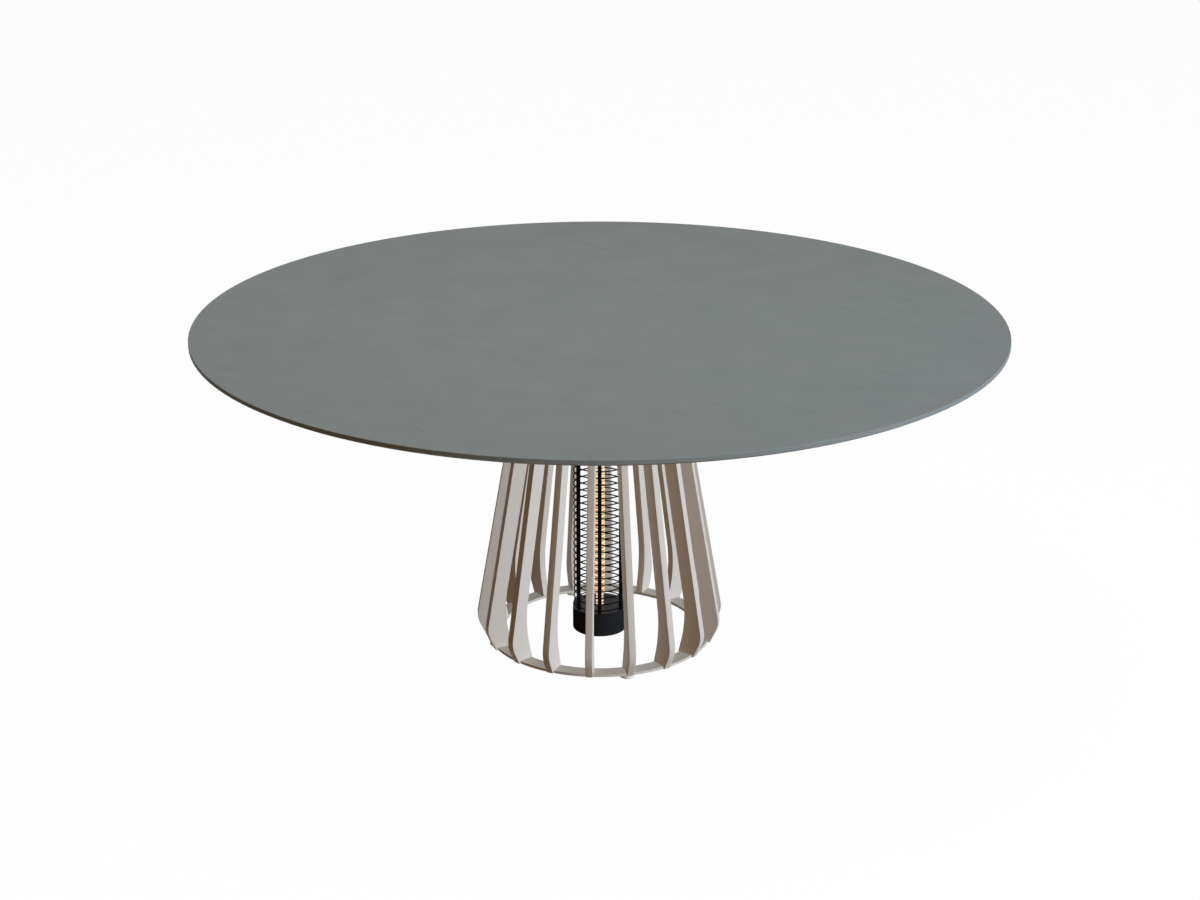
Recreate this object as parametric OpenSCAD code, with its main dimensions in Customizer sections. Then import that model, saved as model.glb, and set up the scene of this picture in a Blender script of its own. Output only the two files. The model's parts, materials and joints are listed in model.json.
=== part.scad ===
// Round dining table with a slatted pedestal and a heater that hangs inside it.
// Millimetres. The floor is z = 0 and the table's axis is the Z axis.
// Azimuths are counted from the front, which is -Y, towards +X.

/* [Table top] */
// Diameter of the round top
table_d = 1800; // [1500:10:2200]
// Height of the top surface above the floor
table_h = 754; // [752:1:800]
// Thickness of the board
top_t = 15; // [14:1:17]
// Height of the upright band of the board's edge
edge_band = 8; // [1:0.5:10]
// How far the underside is drawn in below that band
edge_undercut = 11; // [0:0.5:20]
// Bevel along the top edge
edge_arris = 0.8; // [0.2:0.1:1]

/* [Pedestal slats] */
// Number of slats round the pedestal
slat_count = 18; // [12:1:24]
// Azimuth of the first slat
slat_first = -5; // [-10:1:10]
// Thickness of a slat
slat_t = 16; // [12:1:20]
// Width of a slat across its leaning part
slat_w = 33; // [31:0.5:36]
// Lean of the slats, outwards towards the floor
slat_lean = 10.06; // [8:0.02:12]
// Radius at which the two outer edge lines of a slat would meet
knee_r = 284.6; // [282:0.2:290]
// Height at which the two outer edge lines would meet
knee_z = 53.7; // [48:0.1:60]
// Turn-in of the outer edge below the belly
toe_angle = 25.8; // [22:0.1:27]
// Rounding of the belly
knee_round = 60; // [20:1:75]
// Height at which the two inner edge lines would meet
inner_knee_z = 98.8; // [92:0.1:105]
// Turn-in of the inner edge below that
inner_toe_angle = 13.6; // [12:0.1:15]
// Rounding between the two inner edge lines
inner_knee_round = 260; // [60:5:280]
// Gap between the ring's rim and the lip of each slat
lip_gap = 0.3; // [0.2:0.05:0.6]
// Thickness of the lip that hides the ring's rim
lip_t = 4.35; // [3:0.05:8]
// Height of the lip's end above the ring's underside
lip_rise = 0.5; // [0:0.1:2]

/* [Bottom ring and glides] */
// Width of the bottom ring from its bore to its rim
ring_w = 33.8; // [31:0.1:38]
// Thickness of the bottom ring
ring_t = 6; // [5:0.5:8]
// Number of levelling glides
glide_count = 4; // [3:1:6]
// Azimuth of the first glide
glide_az = 15; // [10:1:20]
// Diameter of a glide's pad
glide_d = 38; // [30:1:42]
// Height of a glide's pad
glide_h = 8; // [7:0.5:12]
// Bevel of a glide's pad
glide_bevel = 1; // [0.5:0.5:2]
// Diameter of a glide's threaded stud
stud_d = 6; // [5:1:6]
// Length of the stud above its pad
stud_l = 12; // [10:1:14]
// Length of the stud inside its pad
stud_root = 4; // [3:0.5:5]

/* [Head plate and arms] */
// How far the plate that closes the cage stands past the slats
plate_margin = 7; // [2:0.5:20]
// Thickness of that plate
plate_t = 8; // [6:1:9]
// Number of support arms
arm_count = 6; // [4:1:6]
// Width of an arm
arm_w = 40; // [30:1:45]
// Height of an arm
arm_h = 20; // [18:1:22]
// Wall of an arm's tube
arm_wall = 2; // [1.5:0.5:3]
// Distance from the board's edge to the arms' outer ends
arm_inset = 200; // [120:5:300]
// Distance from an arm's inner end to its first bolt
arm_edge = 16; // [12:0.5:24]
// Distance between the two bolts of an arm
arm_bolt_pitch = 32; // [24:1:36]
// Distance from the outer bolts to the slats' inner edges
arm_bolt_gap = 16.5; // [12:0.5:24]
// Distance from the head plate's rim to the inner screws of the top
top_screw_gap = 75; // [40:5:120]
// Distance from an arm's outer end to its outer screw
top_screw_edge = 80; // [30:5:120]
// Thickness of an arm's end cap
cap_flange = 2; // [1.5:0.5:3]
// Space between an end cap's plug and the nearest weld nut
cap_space = 2; // [0.5:0.5:4]
// Wall of an end cap's plug
cap_wall = 1.6; // [1.2:0.2:2.4]

/* [Heater housings] */
// Radius of the two heater housings
heater_r = 62; // [61:0.5:66]
// Height of the heater's underside above the floor
heater_z = 17; // [16.6:0.1:19]
// Height of each housing with its plate
housing_h = 57; // [54:1:59]
// Side wall of a housing
housing_wall = 1.5; // [1:0.1:1.8]
// Closed end of a housing
housing_end = 2; // [1.8:0.1:2.5]
// Rounding of a housing's closed edge
housing_round = 3; // [1:0.5:4]
// Thickness of the plate that closes a housing
lid_t = 3.4; // [3:0.1:4]
// Height of the shadow groove under that plate's edge
groove_h = 0.8; // [0.4:0.1:1.2]
// Depth of the shadow groove
groove_d = 1; // [0.4:0.1:1.2]
// Height of the spigot that centres the plate
spigot_h = 6; // [4:1:8]
// Wall of that spigot
spigot_wall = 2; // [1.5:0.1:2]
// Diameter of the three pillars of a plate
pillar_d = 8; // [6:0.5:9]
// Distance from a housing's side to its pillars' axes
pillar_inset = 16; // [14:0.5:20]

/* [Heater guard] */
// Distance between guard rings
wire_pitch = 16.2; // [14:0.1:16.2]
// Diameter of the rings' wire
wire_d = 3; // [2.5:0.1:3.2]
// Depth of the wire's centre line below the rods' outer sides
wire_sink = 1.4; // [1:0.1:1.6]
// Least distance from a plate to the nearest ring
wire_end_least = 5; // [4:0.1:5.5]
// Number of guard rods, the rear one of them a tube
rod_count = 6; // [4:2:8]
// Diameter of a guard rod
rod_d = 9; // [8:0.1:9.6]
// Distance from a housing's side to the rods' axes
rod_inset = 6; // [5:0.1:7]
// Wall between the hole in a rod and its notches
rod_web = 0.31; // [0.3:0.01:0.5]

/* [Heating tube] */
// Diameter of the heating tube
tube_d = 23; // [19:0.5:30]
// Diameter of the tube's necks
neck_d = 17; // [15:0.5:18]
// Length of each neck outside the housing
neck_l = 29; // [15:1:40]
// Height of the shoulder between neck and tube
shoulder_h = 4; // [2:0.5:8]
// Wall of the glass
glass_t = 1.5; // [1:0.1:2]
// Diameter of the heating element
element_d = 6; // [4:0.5:8]
// Length of a neck inside its holder
neck_seat = 8; // [6:0.5:9]
// Depth of the element's seat in a holder
element_seat = 4; // [3:0.5:5]
// Diameter of a lamp holder
holder_d = 26; // [23:0.5:27]
// Height of a lamp holder
holder_h = 15; // [15:0.5:17]
// Diameter of a holder's flange
holder_flange_d = 38; // [37:0.5:40]
// Thickness of a holder's flange
holder_flange_t = 3.5; // [3:0.5:4]

/* [Wiring] */
// Diameter of a lead
lead_d = 2.2; // [1.6:0.1:2.3]
// Radius of a lead's bend
lead_bend = 6; // [4:0.5:7]
// Height of a lead's run above or below its plate
lead_run = 9; // [8.5:0.5:10]
// Length of the terminal block
block_l = 30; // [24:1:32]
// Width of the terminal block
block_w = 12; // [10:1:14]
// Height of the terminal block
block_h = 13; // [12:1:16]
// Distance from the upper holder's flange to the terminal block
block_gap = 7; // [5:0.5:9]
// Diameter of the cable gland's thread
gland_d = 16; // [12:1:18]
// Diameter of the gland's flange and dome nut
gland_flange_d = 22; // [21:1:24]
// Thickness of the gland's flange
gland_flange_t = 5; // [3:0.5:7]
// Length of the gland's dome nut
gland_nut_l = 12; // [8:1:16]
// Bore of the gland for the cord
gland_bore = 7; // [5:0.5:9]
// Height of the gland below the housing's closed end
gland_drop = 21; // [19:0.5:23]

/* [Hanger] */
// Space between the upper housing and the head plate
hanger_gap = 17.8; // [14:0.1:40]
// Diameter of the hanger stem
stem_d = 16; // [12:1:18]
// Width across the flats of the stem's nuts
stem_nut_af = 24; // [22:1:26]
// Thickness of the stem's nuts
stem_nut_t = 6; // [5:0.5:6.5]
// Length of thread that shows past the end nuts
stem_tail = 2; // [1:0.5:3]

/* [Screws and bolts] */
// Diameter of the countersunk screws in the slats
slat_screw_d = 5; // [4:0.5:5]
// Head diameter of the countersunk screws
slat_head_d = 9; // [8:0.5:9.5]
// Length of the countersunk screws
slat_screw_l = 22; // [18:1:22]
// Distance between the two screws of a slat's foot
foot_screw_pitch = 20; // [19:0.5:22]
// Distance between the two screws of a slat's upper end
head_screw_pitch = 18; // [14:0.5:19]
// Diameter of the arm bolts
arm_bolt_d = 6; // [5:1:8]
// Width across the flats of the arm bolts and weld nuts
arm_bolt_af = 10; // [10:1:13]
// Thickness of a bolt head
bolt_head_t = 4; // [3:0.5:5]
// Thickness of a weld nut
weld_nut_t = 5; // [4:0.5:6]
// Diameter of the screws that hold the top
top_screw_d = 5; // [4:0.5:5]
// Head diameter of the screws that hold the top
top_head_d = 9; // [8:0.5:11]
// Head height of the screws that hold the top
top_head_t = 3; // [2:0.5:4]
// Depth that those screws reach into the top
top_screw_grip = 8; // [6:0.5:9]
// Diameter of the threaded inserts
insert_d = 8; // [7.5:0.5:10]
// Length of the threaded inserts
insert_l = 10; // [9.5:0.5:11]
// Head diameter of the screws in the guard rods
rod_head_d = 5; // [4.4:0.2:6]
// Head height of the screws in the guard rods
rod_head_t = 2; // [1.6:0.2:3]
// Depth that those screws reach into a rod
rod_screw_grip = 12; // [8:1:16]
// Diameter of the small screws of housings and holders
small_screw_d = 3; // [2.5:0.1:3.2]
// Head diameter of the small screws
small_head_d = 5.6; // [5:0.1:5.6]
// Head height of the holders' screws
small_head_t = 1.8; // [1.4:0.1:2.2]
// Depth that the housing screws reach into a pillar
pillar_grip = 10; // [8:1:14]
// Depth that the holders' screws reach into a plate
holder_grip = 2.4; // [2:0.1:2.6]
// Space past the end of a screw in its blind hole
hole_spare = 1; // [0.2:0.1:1]

/* [Fits] */
// Radial clearance of a bolt or tube in a clearance hole
loose = 0.2; // [0.1:0.05:0.25]
// Radial clearance of a glide's stud in the ring
running = 0.05; // [0.02:0.01:0.09]
// Radial clearance of a thread or a pressed piece
tight = 0.02; // [0.01:0.01:0.04]
// Radial space around a stud's end inside a slat
relief = 0.5; // [0.3:0.1:1]

/* [Hidden] */
$fn = 96;
over = 1;
arc_steps = 14;

top_under = table_h - top_t;
arm_z = top_under - arm_h;
plate_z = arm_z - plate_t;
ring_z = glide_h;
ring_top = ring_z + ring_t;
lip_z = ring_z + lip_rise;
ring_r = outer_r(lip_z) - lip_t - lip_gap;
ring_bore_r = ring_r - ring_w;
ring_mid = ring_r - ring_w / 2;

// The head plate, its bolts and the arms take their places from the slats' upper ends.
slat_head_r = (outer_r(plate_z) + inner_r(plate_z)) / 2;
plate_r = outer_r(plate_z) + plate_margin;
arm_bolt_outer = inner_r(plate_z) - arm_bolt_gap;
arm_bolt_inner = arm_bolt_outer - arm_bolt_pitch;
arm_start = arm_bolt_inner - arm_edge;
arm_end = table_d / 2 - arm_inset;
arm_len = arm_end - arm_start;
top_screw_inner = plate_r + top_screw_gap;
top_screw_outer = arm_end - top_screw_edge;
cap_plug = arm_edge - arm_bolt_af / 2 / cos(30) - cap_space;

slat_step = 360 / slat_count;
arm_step = 360 / arm_count;
glide_step = 360 / glide_count;
rod_step = 360 / rod_count;

// The heater's two ends mirror each other about the middle of the guard.
guard_z = heater_z + housing_h;
heater_top = plate_z - hanger_gap;
guard_l = heater_top - heater_z - 2 * housing_h;
wire_count = floor((guard_l - 2 * wire_end_least) / wire_pitch) + 1;
wire_end = (guard_l - (wire_count - 1) * wire_pitch) / 2;
rod_r = heater_r - rod_inset;
wire_r = rod_r + rod_d / 2 - wire_sink;
rod_hole = 2 * (wire_r - wire_d / 2 - tight - rod_web - rod_r);
rod_screw_d = rod_hole - 2 * tight;
lid_inner = housing_h - lid_t;
housing_bore = heater_r - housing_wall;
spigot_r = housing_bore - loose;
neck_end = housing_h - lid_t - neck_seat;
pillar_r = heater_r - pillar_inset;
holder_screw_r = (holder_d + holder_flange_d) / 4;
block_r = holder_flange_d / 2 + block_gap + block_w / 2;
gland_az = slat_first + 190;

function unit(v) = v / norm(v);
function turn(a) = a > 180 ? a - 360 : a < -180 ? a + 360 : a;

// Points of the arc of radius r that rounds the corner b between a and c.
function rounded(a, b, c, r, steps = arc_steps) =
    let (
        u = unit(a - b),
        v = unit(c - b),
        half = acos(u * v) / 2,
        centre = b + unit(u + v) * r / sin(half),
        p = b + u * r / tan(half) - centre,
        q = b + v * r / tan(half) - centre,
        start = atan2(p[1], p[0]),
        sweep = turn(atan2(q[1], q[0]) - start)
    )
    [for (i = [0 : steps]) centre + r * [cos(start + sweep * i / steps), sin(start + sweep * i / steps)]];

// Radius of a slat's outer and inner edges at a height.
function outer_r(z) =
    z > knee_z ? knee_r - (z - knee_z) * tan(slat_lean) : knee_r - (knee_z - z) * tan(toe_angle);
function inner_line(z) = knee_r - (z - knee_z) * tan(slat_lean) - slat_w / cos(slat_lean);
function inner_r(z) =
    z > inner_knee_z ? inner_line(z) : inner_line(inner_knee_z) - (inner_knee_z - z) * tan(inner_toe_angle);

// Places children at an azimuth and a radius, with their +X pointing outwards.
module at(azimuth, radius = 0) {
    rotate([0, 0, azimuth - 90]) translate([radius, 0, 0]) children();
}

module each_slat() {
    for (i = [0 : slat_count - 1]) at(slat_first + i * slat_step) children();
}

module each_arm() {
    for (i = [0 : arm_count - 1]) at(i * arm_step) children();
}

module each_glide() {
    for (i = [0 : glide_count - 1]) at(glide_az + i * glide_step, ring_mid) children();
}

// A housing's shapes are drawn from its closed end upwards; the upper one is mirrored.
module lower_end() {
    translate([0, 0, heater_z]) children();
}

module upper_end() {
    translate([0, 0, heater_top]) mirror([0, 0, 1]) children();
}

// Countersunk screw with its flat head at z = 0, pointing up.
module countersunk(d, head_d, length, clear = 0) {
    r = d / 2 + clear;
    head_r = head_d / 2 + clear;
    rotate_extrude()
        polygon([[0, 0], [head_r, 0], [r, head_r - r], [r, length], [0, length]]);
}

// Round-headed screw with its head below z = 0, pointing up.
module pan_screw(d, head_d, head_t, length) {
    translate([0, 0, -head_t]) cylinder(d = head_d, h = head_t);
    cylinder(d = d, h = length);
}

module hexagon(af, h) {
    cylinder(d = af / cos(30), h = h, $fn = 6);
}

// Board of the top, drawn in below an upright band.
module table_top() {
    r = table_d / 2;
    color([0.47, 0.49, 0.47])
    difference() {
        rotate_extrude($fn = 180)
            polygon([
                [0, top_under],
                [r - edge_undercut, top_under],
                [r, table_h - edge_arris - edge_band],
                [r, table_h - edge_arris],
                [r - edge_arris, table_h],
                [0, table_h]
            ]);
        top_fixings() translate([0, 0, top_under - over]) cylinder(d = insert_d + 2 * tight, h = insert_l + over);
    }
}

module top_fixings() {
    each_arm() for (r = [top_screw_inner, top_screw_outer]) translate([r, 0, 0]) children();
}

module top_inserts() {
    color([0.78, 0.66, 0.36])
    top_fixings() translate([0, 0, top_under]) difference() {
        cylinder(d = insert_d, h = insert_l);
        translate([0, 0, -over]) cylinder(d = top_screw_d + 2 * tight, h = insert_l + 2 * over);
    }
}

module top_screws() {
    color([0.72, 0.72, 0.72])
    top_fixings() translate([0, 0, arm_z])
        pan_screw(top_screw_d, top_head_d, top_head_t, arm_h + top_screw_grip);
}

// Rectangular tube that carries the top.
module support_arm(i) {
    color([0.22, 0.22, 0.21])
    at(i * arm_step) translate([0, 0, arm_z]) difference() {
        translate([arm_start, -arm_w / 2, 0]) cube([arm_len, arm_w, arm_h]);
        translate([arm_start - over, -arm_w / 2 + arm_wall, arm_wall])
            cube([arm_len + 2 * over, arm_w - 2 * arm_wall, arm_h - 2 * arm_wall]);
        for (r = [top_screw_inner, top_screw_outer])
            translate([r, 0, -over]) cylinder(d = top_screw_d + 2 * loose, h = arm_h + 2 * over);
        for (r = [arm_bolt_inner, arm_bolt_outer])
            translate([r, 0, -over]) cylinder(d = arm_bolt_d + 2 * loose, h = arm_wall + 2 * over);
    }
}

// Plastic plug with a flange, at both ends of every arm.
module end_cap() {
    w = arm_w - 2 * arm_wall - 2 * loose;
    h = arm_h - 2 * arm_wall - 2 * loose;
    translate([0, -arm_w / 2, 0]) cube([cap_flange, arm_w, arm_h]);
    difference() {
        translate([-cap_plug, -w / 2, (arm_h - h) / 2]) cube([cap_plug + over, w, h]);
        translate([-cap_plug - over, -w / 2 + cap_wall, (arm_h - h) / 2 + cap_wall])
            cube([cap_plug + over, w - 2 * cap_wall, h - 2 * cap_wall]);
    }
}

module arm_end_caps() {
    color([0.12, 0.12, 0.12])
    each_arm() translate([0, 0, arm_z]) {
        translate([arm_end, 0, 0]) end_cap();
        translate([arm_start, 0, 0]) mirror([1, 0, 0]) end_cap();
    }
}

module arm_bolt_places() {
    each_arm() for (r = [arm_bolt_inner, arm_bolt_outer]) translate([r, 0, plate_z]) children();
}

module arm_bolts() {
    color([0.72, 0.72, 0.72])
    arm_bolt_places() {
        translate([0, 0, -bolt_head_t]) hexagon(arm_bolt_af, bolt_head_t);
        cylinder(d = arm_bolt_d, h = plate_t + arm_wall + weld_nut_t + over);
    }
}

module arm_nuts() {
    color([0.72, 0.72, 0.72])
    arm_bolt_places() translate([0, 0, plate_t + arm_wall]) difference() {
        hexagon(arm_bolt_af, weld_nut_t);
        translate([0, 0, -over]) cylinder(d = arm_bolt_d + 2 * tight, h = weld_nut_t + 2 * over);
    }
}

// Plate on the slats' upper ends; the arms lie on it and the heater hangs from it.
module head_plate() {
    color([0.22, 0.22, 0.21])
    difference() {
        translate([0, 0, plate_z]) cylinder(r = plate_r, h = plate_t);
        translate([0, 0, plate_z - over]) cylinder(d = stem_d + 2 * loose, h = plate_t + 2 * over);
        arm_bolt_places() translate([0, 0, -over]) cylinder(d = arm_bolt_d + 2 * loose, h = plate_t + 2 * over);
        head_screw_places() countersunk(slat_screw_d, slat_head_d, slat_screw_l, tight);
    }
}

module head_screw_places() {
    each_slat() for (side = [-1, 1])
        translate([slat_head_r + side * head_screw_pitch / 2, 0, arm_z]) mirror([0, 0, 1]) children();
}

module foot_screw_places() {
    each_slat() for (side = [-1, 1])
        translate([ring_mid + side * foot_screw_pitch / 2, 0, ring_z]) children();
}

module slat_screws_upper() {
    color([0.55, 0.55, 0.54])
    head_screw_places() countersunk(slat_screw_d, slat_head_d, slat_screw_l);
}

module slat_screws_lower() {
    color([0.55, 0.55, 0.54])
    foot_screw_places() countersunk(slat_screw_d, slat_head_d, slat_screw_l);
}

// Side view of a slat: it leans out, swells to the belly and turns in to the ring.
module slat_outline() {
    rim = ring_r + lip_gap;
    outer_top = [outer_r(plate_z), plate_z];
    inner_top = [inner_r(plate_z), plate_z];
    toe = [outer_r(lip_z), lip_z];
    heel = [inner_r(ring_top), ring_top];
    polygon(concat(
        [outer_top, inner_top],
        rounded(inner_top, [inner_r(inner_knee_z), inner_knee_z], heel, inner_knee_round),
        [heel, [rim, ring_top], [rim, lip_z], toe],
        rounded(toe, [knee_r, knee_z], outer_top, knee_round)
    ));
}

module slat(i) {
    azimuth = slat_first + (i - 1) * slat_step;
    color([0.66, 0.64, 0.60])
    difference() {
        at(azimuth) translate([0, slat_t / 2, 0]) rotate([90, 0, 0]) linear_extrude(slat_t) slat_outline();
        at(azimuth) for (side = [-1, 1]) {
            translate([ring_mid + side * foot_screw_pitch / 2, 0, ring_z])
                cylinder(d = slat_screw_d + 2 * tight, h = slat_screw_l + hole_spare);
            translate([slat_head_r + side * head_screw_pitch / 2, 0, arm_z - slat_screw_l - hole_spare])
                cylinder(d = slat_screw_d + 2 * tight, h = slat_screw_l + hole_spare);
        }
        each_glide() cylinder(d = stud_d + 2 * relief, h = ring_z + stud_l + hole_spare);
    }
}

module bottom_ring() {
    color([0.66, 0.64, 0.60])
    difference() {
        translate([0, 0, ring_z]) cylinder(r = ring_r, h = ring_t, $fn = 180);
        translate([0, 0, ring_z - over]) cylinder(r = ring_bore_r, h = ring_t + 2 * over, $fn = 180);
        foot_screw_places() countersunk(slat_screw_d, slat_head_d, slat_screw_l, tight);
        each_glide() translate([0, 0, ring_z - over]) cylinder(d = stud_d + 2 * running, h = ring_t + 2 * over);
    }
}

module glide_pad(i) {
    r = glide_d / 2;
    color([0.72, 0.72, 0.70])
    at(glide_az + (i - 1) * glide_step, ring_mid) difference() {
        rotate_extrude()
            polygon([
                [0, 0],
                [r - glide_bevel, 0],
                [r, glide_bevel],
                [r, glide_h - glide_bevel],
                [r - glide_bevel, glide_h],
                [0, glide_h]
            ]);
        translate([0, 0, glide_h - stud_root]) cylinder(d = stud_d + 2 * tight, h = stud_root + over);
    }
}

module glide_stud(i) {
    color([0.72, 0.72, 0.72])
    at(glide_az + (i - 1) * glide_step, ring_mid)
        translate([0, 0, glide_h - stud_root]) cylinder(d = stud_d, h = stud_root + stud_l);
}

// Cup with a rounded closed edge at z = 0.
module housing_cup() {
    edge = rounded([0, 0], [heater_r, 0], [heater_r, lid_inner], housing_round, 6);
    difference() {
        rotate_extrude()
            polygon(concat(
                [[0, 0]],
                edge,
                [[heater_r, lid_inner], [housing_bore, lid_inner], [housing_bore, housing_end], [0, housing_end]]
            ));
        pillar_places() countersunk(small_screw_d, small_head_d, housing_end + over, tight);
    }
}

module pillar_places() {
    for (i = [0 : 2]) at(30 + i * 120, pillar_r) children();
}

module rod_places(first = 0) {
    for (i = [first : rod_count - 1]) at(180 + i * rod_step, rod_r) children();
}

module holder_screw_places() {
    for (side = [-1, 1]) translate([side * holder_screw_r, 0, lid_inner]) children();
}

// Plate that closes a housing, with its centring spigot and pillars.
module housing_lid() {
    difference() {
        union() {
            rotate_extrude()
                polygon([
                    [0, lid_inner],
                    [heater_r - groove_d, lid_inner],
                    [heater_r - groove_d, lid_inner + groove_h],
                    [heater_r, lid_inner + groove_h],
                    [heater_r, housing_h],
                    [0, housing_h]
                ]);
            translate([0, 0, lid_inner - spigot_h]) difference() {
                cylinder(r = spigot_r, h = spigot_h + over);
                translate([0, 0, -over]) cylinder(r = spigot_r - spigot_wall, h = spigot_h + 2 * over);
                rod_places() translate([0, 0, -over]) cylinder(d = rod_head_d + 4 * loose, h = spigot_h + over);
            }
            pillar_places() translate([0, 0, housing_end])
                cylinder(d = pillar_d, h = lid_inner - housing_end + over);
        }
        cylinder(d = neck_d + 2 * loose, h = housing_h + over);
        rod_places(1) cylinder(d = rod_screw_d + 2 * loose, h = housing_h + over);
        at(180, rod_r) translate([0, 0, lid_inner - over]) cylinder(d = rod_d + 2 * tight, h = lid_t + 2 * over);
        pillar_places() translate([0, 0, housing_end - over])
            cylinder(d = small_screw_d + 2 * tight, h = pillar_grip + hole_spare + over);
        holder_screw_places() translate([0, 0, -over])
            cylinder(d = small_screw_d + 2 * tight, h = holder_grip + 0.3 + over);
    }
}

module heater_base() {
    color([0.07, 0.07, 0.07]) lower_end() housing_cup();
}

module heater_base_lid() {
    color([0.08, 0.08, 0.08]) lower_end() housing_lid();
}

module heater_head() {
    color([0.07, 0.07, 0.07])
    difference() {
        upper_end() housing_cup();
        translate([0, 0, heater_top - housing_end - over])
            cylinder(d = stem_d + 2 * loose, h = housing_end + 2 * over);
        gland_axis() cylinder(d = gland_d + 2 * loose, h = heater_r);
    }
}

module heater_head_lid() {
    color([0.08, 0.08, 0.08]) upper_end() housing_lid();
}

module housing_screws() {
    color([0.55, 0.55, 0.54]) {
        lower_end() pillar_places() countersunk(small_screw_d, small_head_d, housing_end + pillar_grip);
        upper_end() pillar_places() countersunk(small_screw_d, small_head_d, housing_end + pillar_grip);
    }
}

module wire_levels() {
    for (k = [0 : wire_count - 1]) translate([0, 0, guard_z + wire_end + k * wire_pitch]) children();
}

// Notches in the rods' outer sides, in which the guard rings lie.
module wire_notches() {
    depth = wire_d / 2 + tight;
    wire_levels() rotate_extrude()
        translate([wire_r - depth, -depth]) square([rod_d, 2 * depth]);
}

module guard_rods() {
    color([0.10, 0.10, 0.10])
    difference() {
        rod_places(1) translate([0, 0, guard_z]) cylinder(d = rod_d, h = guard_l);
        wire_notches();
        rod_places(1) {
            translate([0, 0, guard_z - over])
                cylinder(d = rod_hole, h = rod_screw_grip + hole_spare + over);
            translate([0, 0, guard_z + guard_l - rod_screw_grip - hole_spare])
                cylinder(d = rod_hole, h = rod_screw_grip + hole_spare + over);
        }
    }
}

// Rear rod, a tube that is screwed into both plates and carries the return lead.
module guard_conduit() {
    color([0.10, 0.10, 0.10])
    difference() {
        at(180, rod_r) translate([0, 0, guard_z - lid_t]) cylinder(d = rod_d, h = guard_l + 2 * lid_t);
        wire_notches();
        at(180, rod_r) translate([0, 0, guard_z - lid_t - over])
            cylinder(d = rod_hole, h = guard_l + 2 * lid_t + 2 * over);
    }
}

module guard_rings() {
    color([0.10, 0.10, 0.10])
    wire_levels() rotate_extrude() translate([wire_r, 0]) circle(d = wire_d, $fn = 24);
}

module rod_screws() {
    rod_places(1) translate([0, 0, lid_inner])
        pan_screw(rod_screw_d, rod_head_d, rod_head_t, lid_t + rod_screw_grip);
}

module guard_screws() {
    color([0.55, 0.55, 0.54]) {
        lower_end() rod_screws();
        upper_end() rod_screws();
    }
}

// Ceramic socket under a housing's plate, for the tube's neck and the element's end.
module lamp_holder() {
    translate([0, 0, lid_inner]) difference() {
        union() {
            translate([0, 0, -holder_h]) cylinder(d = holder_d, h = holder_h);
            translate([0, 0, -holder_flange_t]) cylinder(d = holder_flange_d, h = holder_flange_t);
        }
        translate([0, 0, -neck_seat]) cylinder(d = neck_d + 2 * tight, h = neck_seat + over);
        translate([0, 0, -neck_seat - element_seat]) cylinder(d = element_d + 2 * tight, h = neck_seat);
        for (side = [-1, 1]) translate([side * holder_screw_r, 0, -holder_flange_t - over])
            cylinder(d = small_screw_d + 2 * loose, h = holder_flange_t + 2 * over);
        for (side = [-1, 1]) translate([side * holder_screw_r, 0, -holder_h - over])
            cylinder(d = small_head_d + 2 * loose, h = holder_h + over - holder_flange_t);
    }
}

module lamp_holders() {
    color([0.88, 0.86, 0.80]) {
        lower_end() lamp_holder();
        upper_end() lamp_holder();
    }
}

module holder_screw_pair() {
    holder_screw_places() translate([0, 0, -holder_flange_t])
        pan_screw(small_screw_d, small_head_d, small_head_t, holder_flange_t + holder_grip);
}

module holder_screws() {
    color([0.55, 0.55, 0.54]) {
        lower_end() holder_screw_pair();
        upper_end() holder_screw_pair();
    }
}

// Glass tube with a narrower neck at each end.
module quartz_tube() {
    start = heater_z + neck_end;
    end = heater_top - neck_end;
    low = guard_z + neck_l;
    high = guard_z + guard_l - neck_l;
    neck = neck_d / 2;
    wide = tube_d / 2;
    color([1.0, 0.86, 0.62])
    rotate_extrude()
        polygon([
            [neck - glass_t, start],
            [neck, start],
            [neck, low - shoulder_h / 2],
            [wide, low + shoulder_h / 2],
            [wide, high - shoulder_h / 2],
            [neck, high + shoulder_h / 2],
            [neck, end],
            [neck - glass_t, end],
            [neck - glass_t, high + shoulder_h / 2],
            [wide - glass_t, high - shoulder_h / 2],
            [wide - glass_t, low + shoulder_h / 2],
            [neck - glass_t, low - shoulder_h / 2]
        ]);
}

module heating_element() {
    start = heater_z + neck_end - element_seat;
    color([1.0, 0.55, 0.20])
    translate([0, 0, start]) cylinder(d = element_d, h = heater_top - heater_z - 2 * (neck_end - element_seat));
}

// Lead from the terminal block to the upper holder, and the one down the tubular rod.
module heater_leads() {
    low = heater_z + lid_inner - lead_run;
    high = heater_top - lid_inner + lead_run;
    color([0.80, 0.78, 0.72]) {
        lead_along_y(holder_d / 2 + loose, block_r - block_w / 2, high);
        lead_along_y(block_r + block_w / 2, rod_r - lead_bend, high);
        lead_elbow(high, 1);
        translate([0, rod_r, low + lead_bend]) cylinder(d = lead_d, h = high - low - 2 * lead_bend);
        lead_elbow(low, -1);
        lead_along_y(holder_d / 2 + loose, rod_r - lead_bend, low);
    }
}

module lead_along_y(from, to, z) {
    translate([0, to, z]) rotate([90, 0, 0]) cylinder(d = lead_d, h = to - from);
}

// Quarter bend at the rod: side = 1 turns down from the run at height z, side = -1 turns up.
module lead_elbow(z, side) {
    translate([0, rod_r - lead_bend, z - side * lead_bend])
        rotate([0, 0, 90]) rotate([90, 0, 0])
        rotate([0, 0, side > 0 ? 0 : -90])
        rotate_extrude(angle = 90) translate([lead_bend, 0]) circle(d = lead_d, $fn = 24);
}

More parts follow.
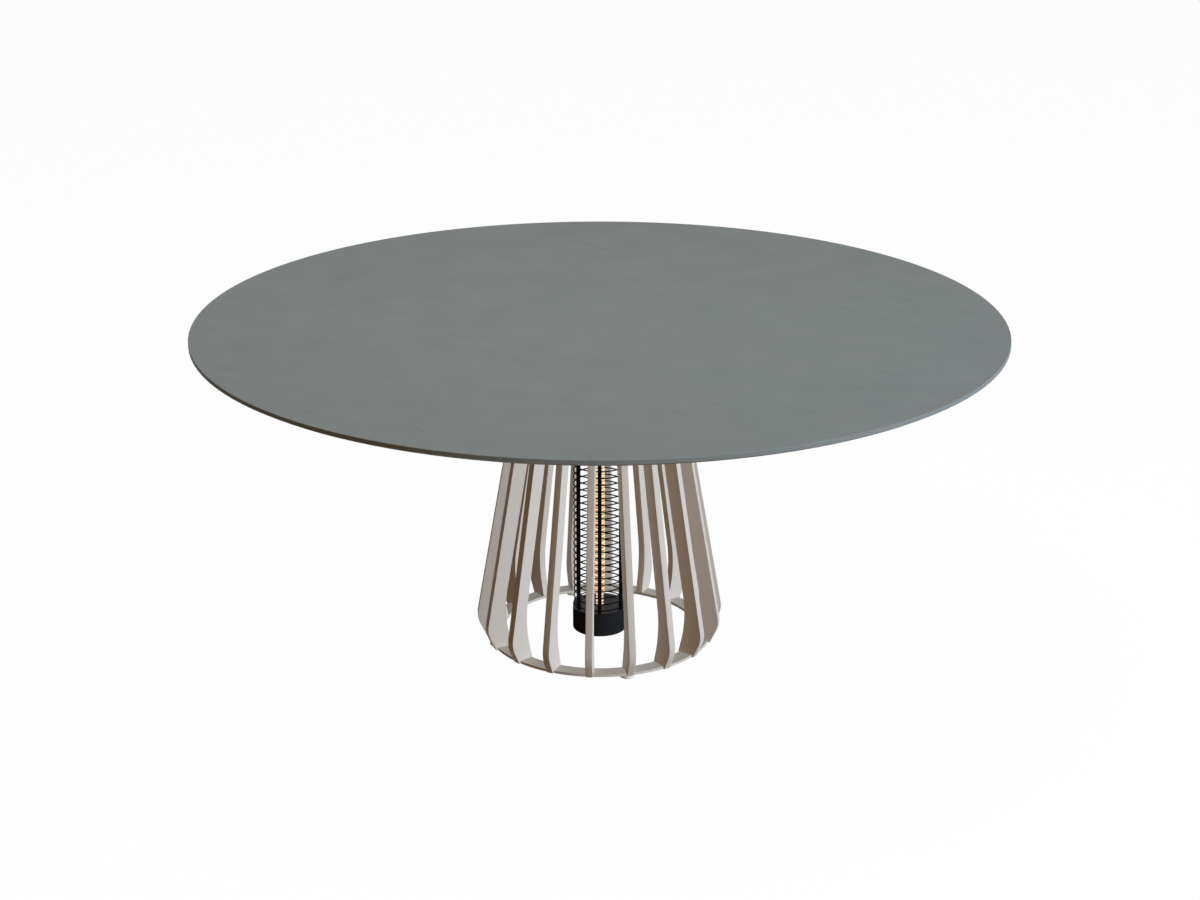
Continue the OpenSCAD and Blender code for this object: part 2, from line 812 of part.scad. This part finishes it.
module terminal_block() {
    color([0.86, 0.84, 0.78])
    translate([-block_l / 2, block_r - block_w / 2, heater_top - lid_inner])
        cube([block_l, block_w, block_h]);
}

module gland_axis() {
    at(gland_az) translate([0, 0, heater_top - gland_drop]) rotate([0, 90, 0]) children();
}

// Gland for the supply cord, with its lock nut inside the housing.
module cable_gland() {
    nut_face = sqrt(pow(housing_bore, 2) - pow(gland_flange_d / 2 / cos(30), 2)) - loose;
    nut_t = gland_flange_t - over;
    color([0.10, 0.10, 0.10])
    gland_axis() {
        difference() {
            union() {
                translate([0, 0, nut_face - nut_t - over])
                    cylinder(d = gland_d, h = heater_r - nut_face + nut_t + 2 * over);
                translate([0, 0, heater_r + running]) hexagon(gland_flange_d, gland_flange_t);
                translate([0, 0, heater_r + gland_flange_t])
                    cylinder(d = gland_flange_d - 2, h = gland_nut_l);
            }
            translate([0, 0, nut_face - nut_t - 2 * over])
                cylinder(d = gland_bore, h = heater_r + gland_flange_t + gland_nut_l);
        }
        translate([0, 0, nut_face - nut_t]) difference() {
            hexagon(gland_flange_d, nut_t);
            translate([0, 0, -over]) cylinder(d = gland_d + 2 * tight, h = nut_t + 2 * over);
        }
    }
}

stem_start = heater_top - housing_end - stem_nut_t - stem_tail;
stem_stop = plate_z + plate_t + stem_nut_t + stem_tail;

module hanger_stem() {
    color([0.72, 0.72, 0.72])
    translate([0, 0, stem_start]) cylinder(d = stem_d, h = stem_stop - stem_start);
}

module stem_nuts() {
    color([0.72, 0.72, 0.72])
    for (z = [
        heater_top - housing_end - stem_nut_t,
        heater_top,
        plate_z - stem_nut_t,
        plate_z + plate_t
    ])
        translate([0, 0, z]) difference() {
            hexagon(stem_nut_af, stem_nut_t);
            translate([0, 0, -over]) cylinder(d = stem_d + 2 * tight, h = stem_nut_t + 2 * over);
        }
}

table_top();
top_inserts();
top_screws();
support_arm(0);  // support_arm_1
support_arm(1);  // support_arm_2
support_arm(2);  // support_arm_3
support_arm(3);  // support_arm_4
support_arm(4);  // support_arm_5
support_arm(5);  // support_arm_6
arm_end_caps();
arm_bolts();
arm_nuts();
head_plate();
slat_screws_upper();
slat(1);  // slat_01
slat(2);  // slat_02
slat(3);  // slat_03
slat(4);  // slat_04
slat(5);  // slat_05
slat(6);  // slat_06
slat(7);  // slat_07
slat(8);  // slat_08
slat(9);  // slat_09
slat(10);  // slat_10
slat(11);  // slat_11
slat(12);  // slat_12
slat(13);  // slat_13
slat(14);  // slat_14
slat(15);  // slat_15
slat(16);  // slat_16
slat(17);  // slat_17
slat(18);  // slat_18
slat_screws_lower();
bottom_ring();
glide_pad(1);  // glide_pad_1
glide_pad(2);  // glide_pad_2
glide_pad(3);  // glide_pad_3
glide_pad(4);  // glide_pad_4
glide_stud(1);  // glide_stud_1
glide_stud(2);  // glide_stud_2
glide_stud(3);  // glide_stud_3
glide_stud(4);  // glide_stud_4
heater_base();
heater_base_lid();
heater_head();
heater_head_lid();
housing_screws();
guard_rods();
guard_conduit();
guard_rings();
guard_screws();
lamp_holders();
holder_screws();
quartz_tube();
heating_element();
terminal_block();
heater_leads();
cable_gland();
hanger_stem();
stem_nuts();
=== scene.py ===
import json
import math

import bmesh
import bpy
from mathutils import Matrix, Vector


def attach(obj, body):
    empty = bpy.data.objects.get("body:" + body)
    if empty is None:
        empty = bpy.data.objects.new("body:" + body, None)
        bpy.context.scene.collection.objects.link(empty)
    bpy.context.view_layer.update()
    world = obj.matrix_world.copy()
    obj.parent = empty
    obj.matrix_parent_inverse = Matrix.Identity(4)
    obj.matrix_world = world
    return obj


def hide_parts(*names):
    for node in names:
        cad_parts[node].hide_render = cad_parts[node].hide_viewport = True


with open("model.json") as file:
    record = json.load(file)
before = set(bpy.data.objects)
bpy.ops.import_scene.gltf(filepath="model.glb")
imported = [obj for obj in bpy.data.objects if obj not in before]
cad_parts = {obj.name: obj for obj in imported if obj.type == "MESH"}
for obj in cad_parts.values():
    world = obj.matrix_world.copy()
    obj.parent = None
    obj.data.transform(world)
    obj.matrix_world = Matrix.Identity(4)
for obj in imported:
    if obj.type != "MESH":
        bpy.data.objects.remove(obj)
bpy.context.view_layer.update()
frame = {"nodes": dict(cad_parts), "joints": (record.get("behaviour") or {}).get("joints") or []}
nodes = frame["nodes"]
scene = bpy.context.scene
scene.view_settings.view_transform = "Standard"

# Camera. It stands 4.95 m in front of the table at 2.23 m above the floor and looks down
# by 19.8 degrees, with the focal length that gives the photograph's width of view.
camera_place = (0.0007, -4.947, 2.229)
look_down = 19.77
sensor_mm = 36
focal_mm = 69.81
camera_data = bpy.data.cameras.new("camera")
camera_data.sensor_width = sensor_mm
camera_data.lens = focal_mm
camera = bpy.data.objects.new("camera", camera_data)
camera.location = camera_place
camera.rotation_euler = (math.radians(90 - look_down), 0, 0)
scene.collection.objects.link(camera)
scene.camera = camera


# Studio. A cool soft light at the right and a weak warm one in front light each face by its
# direction alone, and one overhead gives the faint shadow. The white sweep lies as low as
# the glides reach when they are screwed out, so that they stay in view.
def soft_light(name, azimuth, distance, height, aim_height, width, tall, watts):
    data = bpy.data.lights.new(name, "AREA")
    data.shape = "RECTANGLE"
    data.size = width
    data.size_y = tall
    data.energy = watts
    light = bpy.data.objects.new(name, data)
    angle = math.radians(azimuth)
    light.location = (distance * math.sin(angle), -distance * math.cos(angle), height)
    aim = Vector((0, 0, aim_height)) - light.location
    light.rotation_euler = aim.to_track_quat("-Z", "Y").to_euler()
    scene.collection.objects.link(light)
    return light


softbox = soft_light("key_softbox", azimuth=63, distance=9.0, height=3.1, aim_height=0.35,
                     width=3.5, tall=3.5, watts=1005)
softbox.data.color = (0.778, 0.936, 1.129)
softbox.data.use_shadow = False
front_fill = soft_light("front_fill", azimuth=10, distance=9.0, height=3.1, aim_height=0.35,
                        width=3.5, tall=3.5, watts=100)
front_fill.data.color = (0.871, 0.537, 0.208)
front_fill.data.use_shadow = False
soft_light("overhead", azimuth=-90, distance=0.35, height=4.2, aim_height=0.75,
           width=2.4, tall=2.4, watts=79)


def new_material(name):
    material = bpy.data.materials.new(name)
    material.use_nodes = True
    tree = material.node_tree
    return material, tree, tree.nodes["Principled BSDF"]


def add_node(tree, kind, inputs=None, **settings):
    node = tree.nodes.new(kind)
    for setting, value in settings.items():
        setattr(node, setting, value)
    for socket, value in (inputs or {}).items():
        if isinstance(value, bpy.types.NodeSocket):
            tree.links.new(value, node.inputs[socket])
        else:
            node.inputs[socket].default_value = value
    return node


def seen_share(tree, share):
    path = add_node(tree, "ShaderNodeLightPath")
    seen = path.outputs["Is Camera Ray"]
    for ray in ("Is Glossy Ray", "Is Transmission Ray"):
        either = add_node(tree, "ShaderNodeMath", {0: seen, 1: path.outputs[ray]}, operation="MAXIMUM")
        seen = either.outputs[0]
    return add_node(tree, "ShaderNodeMath", {0: seen, 1: share}, operation="MULTIPLY").outputs[0]


air_warmth = (1.0, 0.59, 0.31, 1)
air_strength = 0.078
white = (1, 1, 1, 1)
floor_bounce = (0.30, 0.20, 0.12, 1)
floor_shade = (0.9, 0.9, 0.9, 1)
floor_glow_share = 0.97
world = bpy.data.worlds.new("studio_air")
scene.world = world
world.use_nodes = True
air = world.node_tree
air_light = air.nodes["Background"]
air_light.inputs["Color"].default_value = air_warmth
air_light.inputs["Strength"].default_value = air_strength
seen_air = add_node(air, "ShaderNodeBackground", {"Color": white, "Strength": 1.0})
air_mix = add_node(air, "ShaderNodeMixShader",
                   {0: seen_share(air, 1.0), 1: air_light.outputs[0], 2: seen_air.outputs[0]})
air.links.new(air_mix.outputs[0], air.nodes["World Output"].inputs["Surface"])

glide_reach = max(joint["range_m"][1] for joint in frame["joints"])
sweep_half = 30.0
sweep_mesh = bpy.data.meshes.new("studio_floor")
sweep_mesh.from_pydata([(x * sweep_half, y * sweep_half, -glide_reach)
                        for x, y in ((-1, -1), (1, -1), (1, 1), (-1, 1))], [], [(0, 1, 2, 3)])
studio_floor = bpy.data.objects.new("studio_floor", sweep_mesh)
scene.collection.objects.link(studio_floor)
floor_white, floor_tree, floor_shader = new_material("floor_white")
floor_tone = add_node(floor_tree, "ShaderNodeMix",
                      {0: seen_share(floor_tree, 1.0), 6: floor_bounce, 7: floor_shade},
                      data_type="RGBA")
floor_tree.links.new(floor_tone.outputs[2], floor_shader.inputs["Base Color"])
floor_shader.inputs["Roughness"].default_value = 1.0
floor_shader.inputs["Specular IOR Level"].default_value = 0.0
floor_glow = add_node(floor_tree, "ShaderNodeEmission", {"Color": white, "Strength": 1.0})
glow_share = seen_share(floor_tree, floor_glow_share)
floor_mix = add_node(floor_tree, "ShaderNodeMixShader",
                     {0: glow_share, 1: floor_shader.outputs[0], 2: floor_glow.outputs[0]})
floor_tree.links.new(floor_mix.outputs[0], floor_tree.nodes["Material Output"].inputs["Surface"])
sweep_mesh.materials.append(floor_white)


# Bottom ring. A flat ring of 6 mm plate, powder-coated in a warm grey, that the slats
# are screwed to from below. The coat has a fine orange peel and slightly uneven gloss.
def shown(red, green, blue):
    def linear(value):
        value /= 255
        return value / 12.92 if value <= 0.04045 else ((value + 0.055) / 1.055) ** 2.4
    return (linear(red), linear(green), linear(blue), 1)


def new_group(name, inputs, outputs):
    group = bpy.data.node_groups.new(name, "ShaderNodeTree")
    for direction, sockets in (("INPUT", inputs), ("OUTPUT", outputs)):
        for socket, kind in sockets.items():
            group.interface.new_socket(socket, in_out=direction, socket_type="NodeSocket" + kind)
    return group, group.nodes.new("NodeGroupInput").outputs, group.nodes.new("NodeGroupOutput").inputs


def mixed(tree, factor, first, second, blend="MIX"):
    return add_node(tree, "ShaderNodeMix", {0: factor, 6: first, 7: second},
                    data_type="RGBA", blend_type=blend).outputs[2]


def object_place(tree):
    return add_node(tree, "ShaderNodeTexCoord").outputs["Object"]


def noise(tree, vector, scale, detail=2.0, distortion=0.0):
    inputs = {"Vector": vector, "Scale": scale, "Detail": detail, "Distortion": distortion}
    return add_node(tree, "ShaderNodeTexNoise", inputs).outputs["Fac"]


powder_grain, given, result = new_group(
    "powder_grain",
    {"Colour": "Color", "Shaded colour": "Color", "Peel scale": "Float", "Gloss": "Float"},
    {"Colour": "Color", "Roughness": "Float", "Height": "Float"})
clouds = noise(powder_grain, object_place(powder_grain), 7.0, 3.0)
peel = noise(powder_grain, object_place(powder_grain), given["Peel scale"], 2.0)
peel_gloss = 0.16
coloured = mixed(powder_grain, clouds, given["Colour"], given["Shaded colour"])
powder_grain.links.new(coloured, result["Colour"])
uneven = add_node(powder_grain, "ShaderNodeMath", {0: peel, 1: peel_gloss, 2: given["Gloss"]},
                  operation="MULTIPLY_ADD")
powder_grain.links.new(uneven.outputs[0], result["Roughness"])
powder_grain.links.new(peel, result["Height"])


def powder_coat(name, colour, shaded, gloss, sheen=0.3, peel_scale=900.0, bump=0.12):
    material, tree, shader = new_material(name)
    shader.inputs["Specular IOR Level"].default_value = sheen
    grain = add_node(tree, "ShaderNodeGroup", node_tree=powder_grain)
    grain.inputs["Colour"].default_value = colour
    grain.inputs["Shaded colour"].default_value = shaded
    grain.inputs["Peel scale"].default_value = peel_scale
    grain.inputs["Gloss"].default_value = gloss
    tree.links.new(grain.outputs["Colour"], shader.inputs["Base Color"])
    tree.links.new(grain.outputs["Roughness"], shader.inputs["Roughness"])
    relief = add_node(tree, "ShaderNodeBump",
                      {"Height": grain.outputs["Height"], "Strength": bump, "Distance": 0.0004})
    tree.links.new(relief.outputs["Normal"], shader.inputs["Normal"])
    return material


def dress(material, *names):
    for name in names:
        mesh = nodes[name].data
        mesh.materials.clear()
        mesh.materials.append(material)


pedestal_coat = powder_coat("pedestal_coat", shown(204, 194, 181), shown(199, 188, 174), 0.45, 0.15)
dress(pedestal_coat, "bottom_ring")


# Levelling glides. Four pads of pale moulded plastic, 38 mm across, each on a steel stud
# that screws into the ring.
def steel(name, colour, roughness):
    material, tree, shader = new_material(name)
    shader.inputs["Metallic"].default_value = 1.0
    wear = noise(tree, object_place(tree), 160.0, 4.0)
    tree.links.new(mixed(tree, wear, colour, shown(150, 150, 148)), shader.inputs["Base Color"])
    rough = add_node(tree, "ShaderNodeMath", {0: wear, 1: 0.2, 2: roughness}, operation="MULTIPLY_ADD")
    tree.links.new(rough.outputs[0], shader.inputs["Roughness"])
    return material


def moulded(name, colour, shaded, roughness):
    material, tree, shader = new_material(name)
    fine = noise(tree, object_place(tree), 700.0, 2.0)
    tree.links.new(mixed(tree, fine, colour, shaded), shader.inputs["Base Color"])
    shader.inputs["Roughness"].default_value = roughness
    relief = add_node(tree, "ShaderNodeBump", {"Height": fine, "Strength": 0.1, "Distance": 0.0003})
    tree.links.new(relief.outputs["Normal"], shader.inputs["Normal"])
    return material


screw_steel = steel("screw_steel", shown(205, 205, 203), 0.25)
glide_plastic = moulded("glide_plastic", shown(240, 240, 236), shown(233, 233, 229), 0.5)
for i in range(1, 5):
    dress(glide_plastic, f"glide_pad_{i}")
    dress(screw_steel, f"glide_stud_{i}")

# Slats. Eighteen flat bars, 16 mm thick, cut to a side view that leans out by 10 degrees,
# swells to a belly and turns in to the ring; their edges are broken by 0.8 mm before coating.
slat_count = 18
slat_first = -5
slat_thickness = 0.016
slat_width = 0.033
slat_lean = math.radians(10.06)
knee = Vector((0.2846, 0.0537))
toe_angle = math.radians(25.8)
knee_rounding = 0.060
inner_knee_z = 0.0988
inner_toe_angle = math.radians(13.6)
inner_rounding = 0.260
ring_edge = 0.2581
lip_gap = 0.0003
ring_top = 0.014
lip_end = 0.0085
slat_top = 0.711
broken_edge = 0.0008
broken_steps = 2
corner_steps = 24
sharp_angle = math.radians(40)


def outer_radius(z):
    if z > knee.y:
        return knee.x - (z - knee.y) * math.tan(slat_lean)
    return knee.x - (knee.y - z) * math.tan(toe_angle)


def inner_radius(z):
    turn = max(z, inner_knee_z)
    radius = knee.x - (turn - knee.y) * math.tan(slat_lean) - slat_width / math.cos(slat_lean)
    return radius - (turn - z) * math.tan(inner_toe_angle)


def rounded_corner(before, corner, after, radius):
    towards = (before - corner).normalized()
    onwards = (after - corner).normalized()
    half = towards.angle(onwards) / 2
    centre = corner + (towards + onwards).normalized() * radius / math.sin(half)
    start = corner + towards * radius / math.tan(half) - centre
    end = corner + onwards * radius / math.tan(half) - centre
    sweep = end.angle_signed(start)
    points = []
    for i in range(corner_steps + 1):
        angle = math.atan2(start.y, start.x) + sweep * i / corner_steps
        points.append(centre + radius * Vector((math.cos(angle), math.sin(angle))))
    return points


def slat_outline():
    outer_top = Vector((outer_radius(slat_top), slat_top))
    inner_top = Vector((inner_radius(slat_top), slat_top))
    heel = Vector((inner_radius(ring_top), ring_top))
    toe = Vector((outer_radius(lip_end), lip_end))
    inner_knee = Vector((inner_radius(inner_knee_z), inner_knee_z))
    rim = ring_edge + lip_gap
    return ([outer_top, inner_top] + rounded_corner(inner_top, inner_knee, heel, inner_rounding)
            + [heel, Vector((rim, ring_top)), Vector((rim, lip_end)), toe]
            + rounded_corner(toe, knee, outer_top, knee_rounding))


def slat_blank():
    shape = bmesh.new()
    corners = [shape.verts.new((p.x, -slat_thickness / 2, p.y)) for p in slat_outline()]
    side = shape.faces.new(corners)
    grown = bmesh.ops.extrude_face_region(shape, geom=[side])["geom"]
    moved = [v for v in grown if isinstance(v, bmesh.types.BMVert)]
    bmesh.ops.translate(shape, verts=moved, vec=(0, slat_thickness, 0))
    bmesh.ops.recalc_face_normals(shape, faces=shape.faces)
    sharp = [e for e in shape.edges if e.calc_face_angle() > sharp_angle]
    bmesh.ops.bevel(shape, geom=sharp, offset=broken_edge, segments=broken_steps, affect="EDGES")
    mesh = bpy.data.meshes.new("slat_blank")
    shape.to_mesh(mesh)
    shape.free()
    mesh.shade_smooth()
    return mesh


def new_geometry_tree(name, inputs):
    tree = bpy.data.node_groups.new(name, "GeometryNodeTree")
    tree.interface.new_socket("Geometry", in_out="INPUT", socket_type="NodeSocketGeometry")
    sockets = {}
    for socket, kind in inputs.items():
        sockets[socket] = tree.interface.new_socket(socket, in_out="INPUT", socket_type="NodeSocket" + kind)
    tree.interface.new_socket("Geometry", in_out="OUTPUT", socket_type="NodeSocketGeometry")
    start = tree.nodes.new("NodeGroupInput").outputs
    end = tree.nodes.new("NodeGroupOutput").inputs
    return tree, sockets, start, end


def made_by(tree, sockets, values, blank, name):
    source = bpy.data.objects.new(name + "_source", blank)
    scene.collection.objects.link(source)
    modifier = source.modifiers.new("made", "NODES")
    modifier.node_group = tree
    for socket, value in values.items():
        modifier[sockets[socket].identifier] = value
    seen = source.evaluated_get(bpy.context.evaluated_depsgraph_get())
    mesh = bpy.data.meshes.new_from_object(seen)
    mesh.name = name
    source.modifiers.remove(modifier)
    bpy.data.objects.remove(source)
    piece = bpy.data.objects.new(name, mesh)
    scene.collection.objects.link(piece)
    return piece


turned_copies, copy_sockets, start, end = new_geometry_tree(
    "turned_copies", {"Count": "Int", "First": "Float", "Step": "Float", "Material": "Material"})
marks = add_node(turned_copies, "GeometryNodePoints", {"Count": start["Count"]})
number = add_node(turned_copies, "GeometryNodeInputIndex")
turn = add_node(turned_copies, "ShaderNodeMath",
                {0: number.outputs[0], 1: start["Step"], 2: start["First"]}, operation="MULTIPLY_ADD")
angles = add_node(turned_copies, "ShaderNodeCombineXYZ", {"Z": turn.outputs[0]})
copies = add_node(turned_copies, "GeometryNodeInstanceOnPoints",
                  {"Points": marks.outputs[0], "Instance": start["Geometry"],
                   "Rotation": angles.outputs[0]})
real = add_node(turned_copies, "GeometryNodeRealizeInstances", {0: copies.outputs[0]})
coated = add_node(turned_copies, "GeometryNodeSetMaterial",
                  {"Geometry": real.outputs[0], "Material": start["Material"]})
turned_copies.links.new(coated.outputs[0], end["Geometry"])

slats = made_by(turned_copies, copy_sockets,
                {"Count": slat_count, "First": math.radians(slat_first - 90),
                 "Step": math.radians(360 / slat_count), "Material": pedestal_coat},
                slat_blank(), "pedestal_slats")
even_light = slats.modifiers.new("even_light", "WEIGHTED_NORMAL")
even_light.keep_sharp = True
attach(slats, "table")
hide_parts(*[f"slat_{i:02d}" for i in range(1, slat_count + 1)])

# Screws of the slats. Countersunk steel screws, flush with the ring's underside and
# with the head plate's top.
dress(screw_steel, "slat_screws_upper", "slat_screws_lower")

# Head plate and arms. An 8 mm plate closes the cage, and six rectangular tubes lie on it
# and carry the top; all are coated in a dark grey that stays out of sight.
frame_coat = powder_coat("frame_coat", shown(62, 61, 59), shown(56, 55, 53), 0.5)
dress(frame_coat, "head_plate", *[f"support_arm_{i}" for i in range(1, 7)])
dress(screw_steel, "top_screws", "arm_bolts", "arm_nuts", "hanger_stem", "stem_nuts")
black_plastic = moulded("black_plastic", shown(30, 30, 30), shown(24, 24, 24), 0.45)
dress(black_plastic, "arm_end_caps", "cable_gland")

# Heater housings. Two deep-drawn black cups, each closed by a turned plate with a glossier
# coat, in which the foot of the tube shows; three screws hold each plate.
# Painted sheen: the cups' coat is a charcoal grey, lighter than their black, with no specular, so that the
# lamps' diffuse light on it stands in for their sheen on the lit side.
heater_coat = powder_coat("heater_coat", shown(38, 38, 40), shown(33, 33, 35), 0.34, 0.0, 1200.0, 0.06)
plate_coat = powder_coat("plate_coat", shown(24, 25, 27), shown(20, 21, 23), 0.20, 0.11, 1200.0, 0.03)
dress(heater_coat, "heater_base", "heater_head")
dress(plate_coat, "heater_base_lid", "heater_head_lid")
dress(screw_steel, "housing_screws", "holder_screws", "guard_screws")

# Guard. Closed rings of 3 mm steel wire lie one above the other in notches of five 9 mm rods
# and of the tube at the back that carries a lead; all of it is coated matt black.
ring_count = 35
ring_pitch = 0.0162
ring_radius = 0.0591
wire_radius = 0.0015
ring_steps = 96
wire_steps = 10
guard_coat = powder_coat("guard_coat", shown(8, 8, 8), shown(4, 4, 4), 0.34, 0.02, 1500.0, 0.05)
dress(guard_coat, "guard_rods", "guard_conduit")

stacked_rings, ring_sockets, start, end = new_geometry_tree(
    "stacked_rings", {"Count": "Int", "First height": "Float", "Pitch": "Float",
                      "Ring radius": "Float", "Wire radius": "Float", "Material": "Material"})
ring_path = add_node(stacked_rings, "GeometryNodeCurvePrimitiveCircle",
                     {"Resolution": ring_steps, "Radius": start["Ring radius"]})
wire_round = add_node(stacked_rings, "GeometryNodeCurvePrimitiveCircle",
                      {"Resolution": wire_steps, "Radius": start["Wire radius"]})
wire_ring = add_node(stacked_rings, "GeometryNodeCurveToMesh",
                     {"Curve": ring_path.outputs[0], "Profile Curve": wire_round.outputs[0]})
lowest = add_node(stacked_rings, "ShaderNodeCombineXYZ", {"Z": start["First height"]})
spacing = add_node(stacked_rings, "ShaderNodeCombineXYZ", {"Z": start["Pitch"]})
levels = add_node(stacked_rings, "GeometryNodeMeshLine",
                  {"Count": start["Count"], "Start Location": lowest.outputs[0],
                   "Offset": spacing.outputs[0]}, mode="OFFSET")
stack = add_node(stacked_rings, "GeometryNodeInstanceOnPoints",
                 {"Points": levels.outputs[0], "Instance": wire_ring.outputs[0]})
real = add_node(stacked_rings, "GeometryNodeRealizeInstances", {0: stack.outputs[0]})
coated = add_node(stacked_rings, "GeometryNodeSetMaterial",
                  {"Geometry": real.outputs[0], "Material": start["Material"]})
stacked_rings.links.new(coated.outputs[0], end["Geometry"])

lowest_wire = min(v.co.z for v in nodes["guard_rings"].data.vertices)
wire_rings = made_by(stacked_rings, ring_sockets,
                     {"Count": ring_count, "First height": lowest_wire + wire_radius, "Pitch": ring_pitch,
                      "Ring radius": ring_radius, "Wire radius": wire_radius, "Material": guard_coat},
                     bpy.data.meshes.new("wire_rings_start"), "wire_rings")
wire_rings.data.shade_smooth()
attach(wire_rings, "table")
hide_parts("guard_rings")

# Heating tube. A quartz tube, frosted on the inside, round a glowing element; its winding
# shows as orange bands every 8.1 mm on a cream glow.
band_pitch = 0.0081
band_depth = 0.42
band_dark = 0.15
band_bright = 0.60
glow_half_width = 0.010
tube_glow, tree, shader = new_material("tube_glow")
place = object_place(tree)
parts = add_node(tree, "ShaderNodeSeparateXYZ", {0: place})
phase = add_node(tree, "ShaderNodeMath", {0: parts.outputs["Z"], 1: 2 * math.pi / band_pitch},
                 operation="MULTIPLY")
wave = add_node(tree, "ShaderNodeMath", {0: phase.outputs[0]}, operation="SINE")
uneven_glow = noise(tree, place, 90.0, 2.0)
band = add_node(tree, "ShaderNodeMath", {0: wave.outputs[0], 1: band_depth, 2: uneven_glow},
                operation="MULTIPLY_ADD")
band_share = add_node(tree, "ShaderNodeMapRange",
                      {"Value": band.outputs[0], "From Min": band_dark, "From Max": band_bright})
# Across its width the glow is painted paler and yellower on the +X side, towards the main lamp, and more
# orange on the -X side: painted lit and shaded sides of the tube.
side = add_node(tree, "ShaderNodeMapRange",
                {"Value": parts.outputs["X"], "From Min": -glow_half_width, "From Max": glow_half_width})
bright = mixed(tree, side.outputs[0], shown(255, 226, 186), shown(255, 244, 200))
banded = mixed(tree, side.outputs[0], shown(176, 70, 20), shown(186, 120, 56))
glow = mixed(tree, band_share.outputs[0], banded, bright)
tree.links.new(glow, shader.inputs["Emission Color"])
shader.inputs["Emission Strength"].default_value = 1.0
shader.inputs["Base Color"].default_value = shown(40, 34, 28)
shader.inputs["Roughness"].default_value = 0.25
dress(tube_glow, "quartz_tube")

element_glow, tree, shader = new_material("element_glow")
hot = noise(tree, object_place(tree), 300.0, 2.0)
tree.links.new(mixed(tree, hot, shown(255, 150, 60), shown(255, 110, 30)), shader.inputs["Emission Color"])
shader.inputs["Emission Strength"].default_value = 1.5
dress(element_glow, "heating_element")

# Holders and wiring. Two ceramic sockets grip the ends of the tube, a ceramic block joins
# the wires in the lower cup, and the two leads run in sleeves of woven glass.
ceramic = moulded("holder_ceramic", shown(228, 223, 208), shown(218, 212, 196), 0.55)
dress(ceramic, "lamp_holders", "terminal_block")
sleeve, tree, shader = new_material("lead_sleeve")
weave = add_node(tree, "ShaderNodeTexWave",
                 {"Vector": object_place(tree), "Scale": 400.0, "Distortion": 1.0},
                 bands_direction="DIAGONAL")
tree.links.new(mixed(tree, weave.outputs["Fac"], shown(215, 210, 195), shown(180, 174, 158)),
               shader.inputs["Base Color"])
shader.inputs["Roughness"].default_value = 0.85
dress(sleeve, "heater_leads")

# Table top. A 15 mm board with a trowelled mineral face in a soft grey-green, drawn in
# below its rim; brass inserts in its underside take the screws of the arms.
cloud_scale = 2.4
patch_scale = 11.0
speck_scale = 420.0
stroke_angle = math.radians(43)
stroke_stretch = (2.6, 11.0, 1.0)
stroke_scale = 2.6
board_face, tree, shader = new_material("board_face")
shader.inputs["Specular IOR Level"].default_value = 0.1
place = object_place(tree)
large = noise(tree, place, cloud_scale, 3.0, 0.5)
small = noise(tree, place, patch_scale, 3.0, 0.3)
speck = noise(tree, place, speck_scale, 3.0)
turned = add_node(tree, "ShaderNodeMapping", {"Vector": place, "Rotation": (0, 0, stroke_angle)})
drawn = add_node(tree, "ShaderNodeMapping", {"Vector": turned.outputs[0], "Scale": stroke_stretch})
strokes = noise(tree, drawn.outputs[0], stroke_scale, 2.0, 0.8)
stroke_mask = add_node(tree, "ShaderNodeMapRange", {"Value": strokes, "From Min": 0.63, "From Max": 0.76})
cloud_mask = add_node(tree, "ShaderNodeMapRange", {"Value": large, "From Min": 0.25, "From Max": 0.75})
patch_mask = add_node(tree, "ShaderNodeMapRange", {"Value": small, "From Min": 0.42, "From Max": 0.66,
                                                   "To Max": 0.4})
speck_mask = add_node(tree, "ShaderNodeMapRange", {"Value": speck, "From Min": 0.35, "From Max": 0.65,
                                                   "To Max": 0.25})
stroke_share = add_node(tree, "ShaderNodeMath", {0: stroke_mask.outputs[0], 1: 0.5}, operation="MULTIPLY")
grey = mixed(tree, cloud_mask.outputs[0], shown(121, 127, 123), shown(123, 127, 125))
grey = mixed(tree, patch_mask.outputs[0], grey, shown(119, 125, 122))
grey = mixed(tree, stroke_share.outputs[0], grey, shown(108, 114, 111))
grey = mixed(tree, speck_mask.outputs[0], grey, shown(115, 121, 118))
tree.links.new(grey, shader.inputs["Base Color"])
face_rough = add_node(tree, "ShaderNodeMath", {0: small, 1: 0.2, 2: 0.55}, operation="MULTIPLY_ADD")
tree.links.new(face_rough.outputs[0], shader.inputs["Roughness"])
trowelled = add_node(tree, "ShaderNodeBump",
                     {"Height": stroke_mask.outputs[0], "Strength": 0.5, "Distance": 0.0004})
relief = add_node(tree, "ShaderNodeBump", {"Height": speck, "Strength": 0.15, "Distance": 0.0006,
                                           "Normal": trowelled.outputs["Normal"]})
tree.links.new(relief.outputs["Normal"], shader.inputs["Normal"])
dress(board_face, "table_top")
brass = steel("insert_brass", shown(200, 170, 96), 0.3)
dress(brass, "top_inserts")
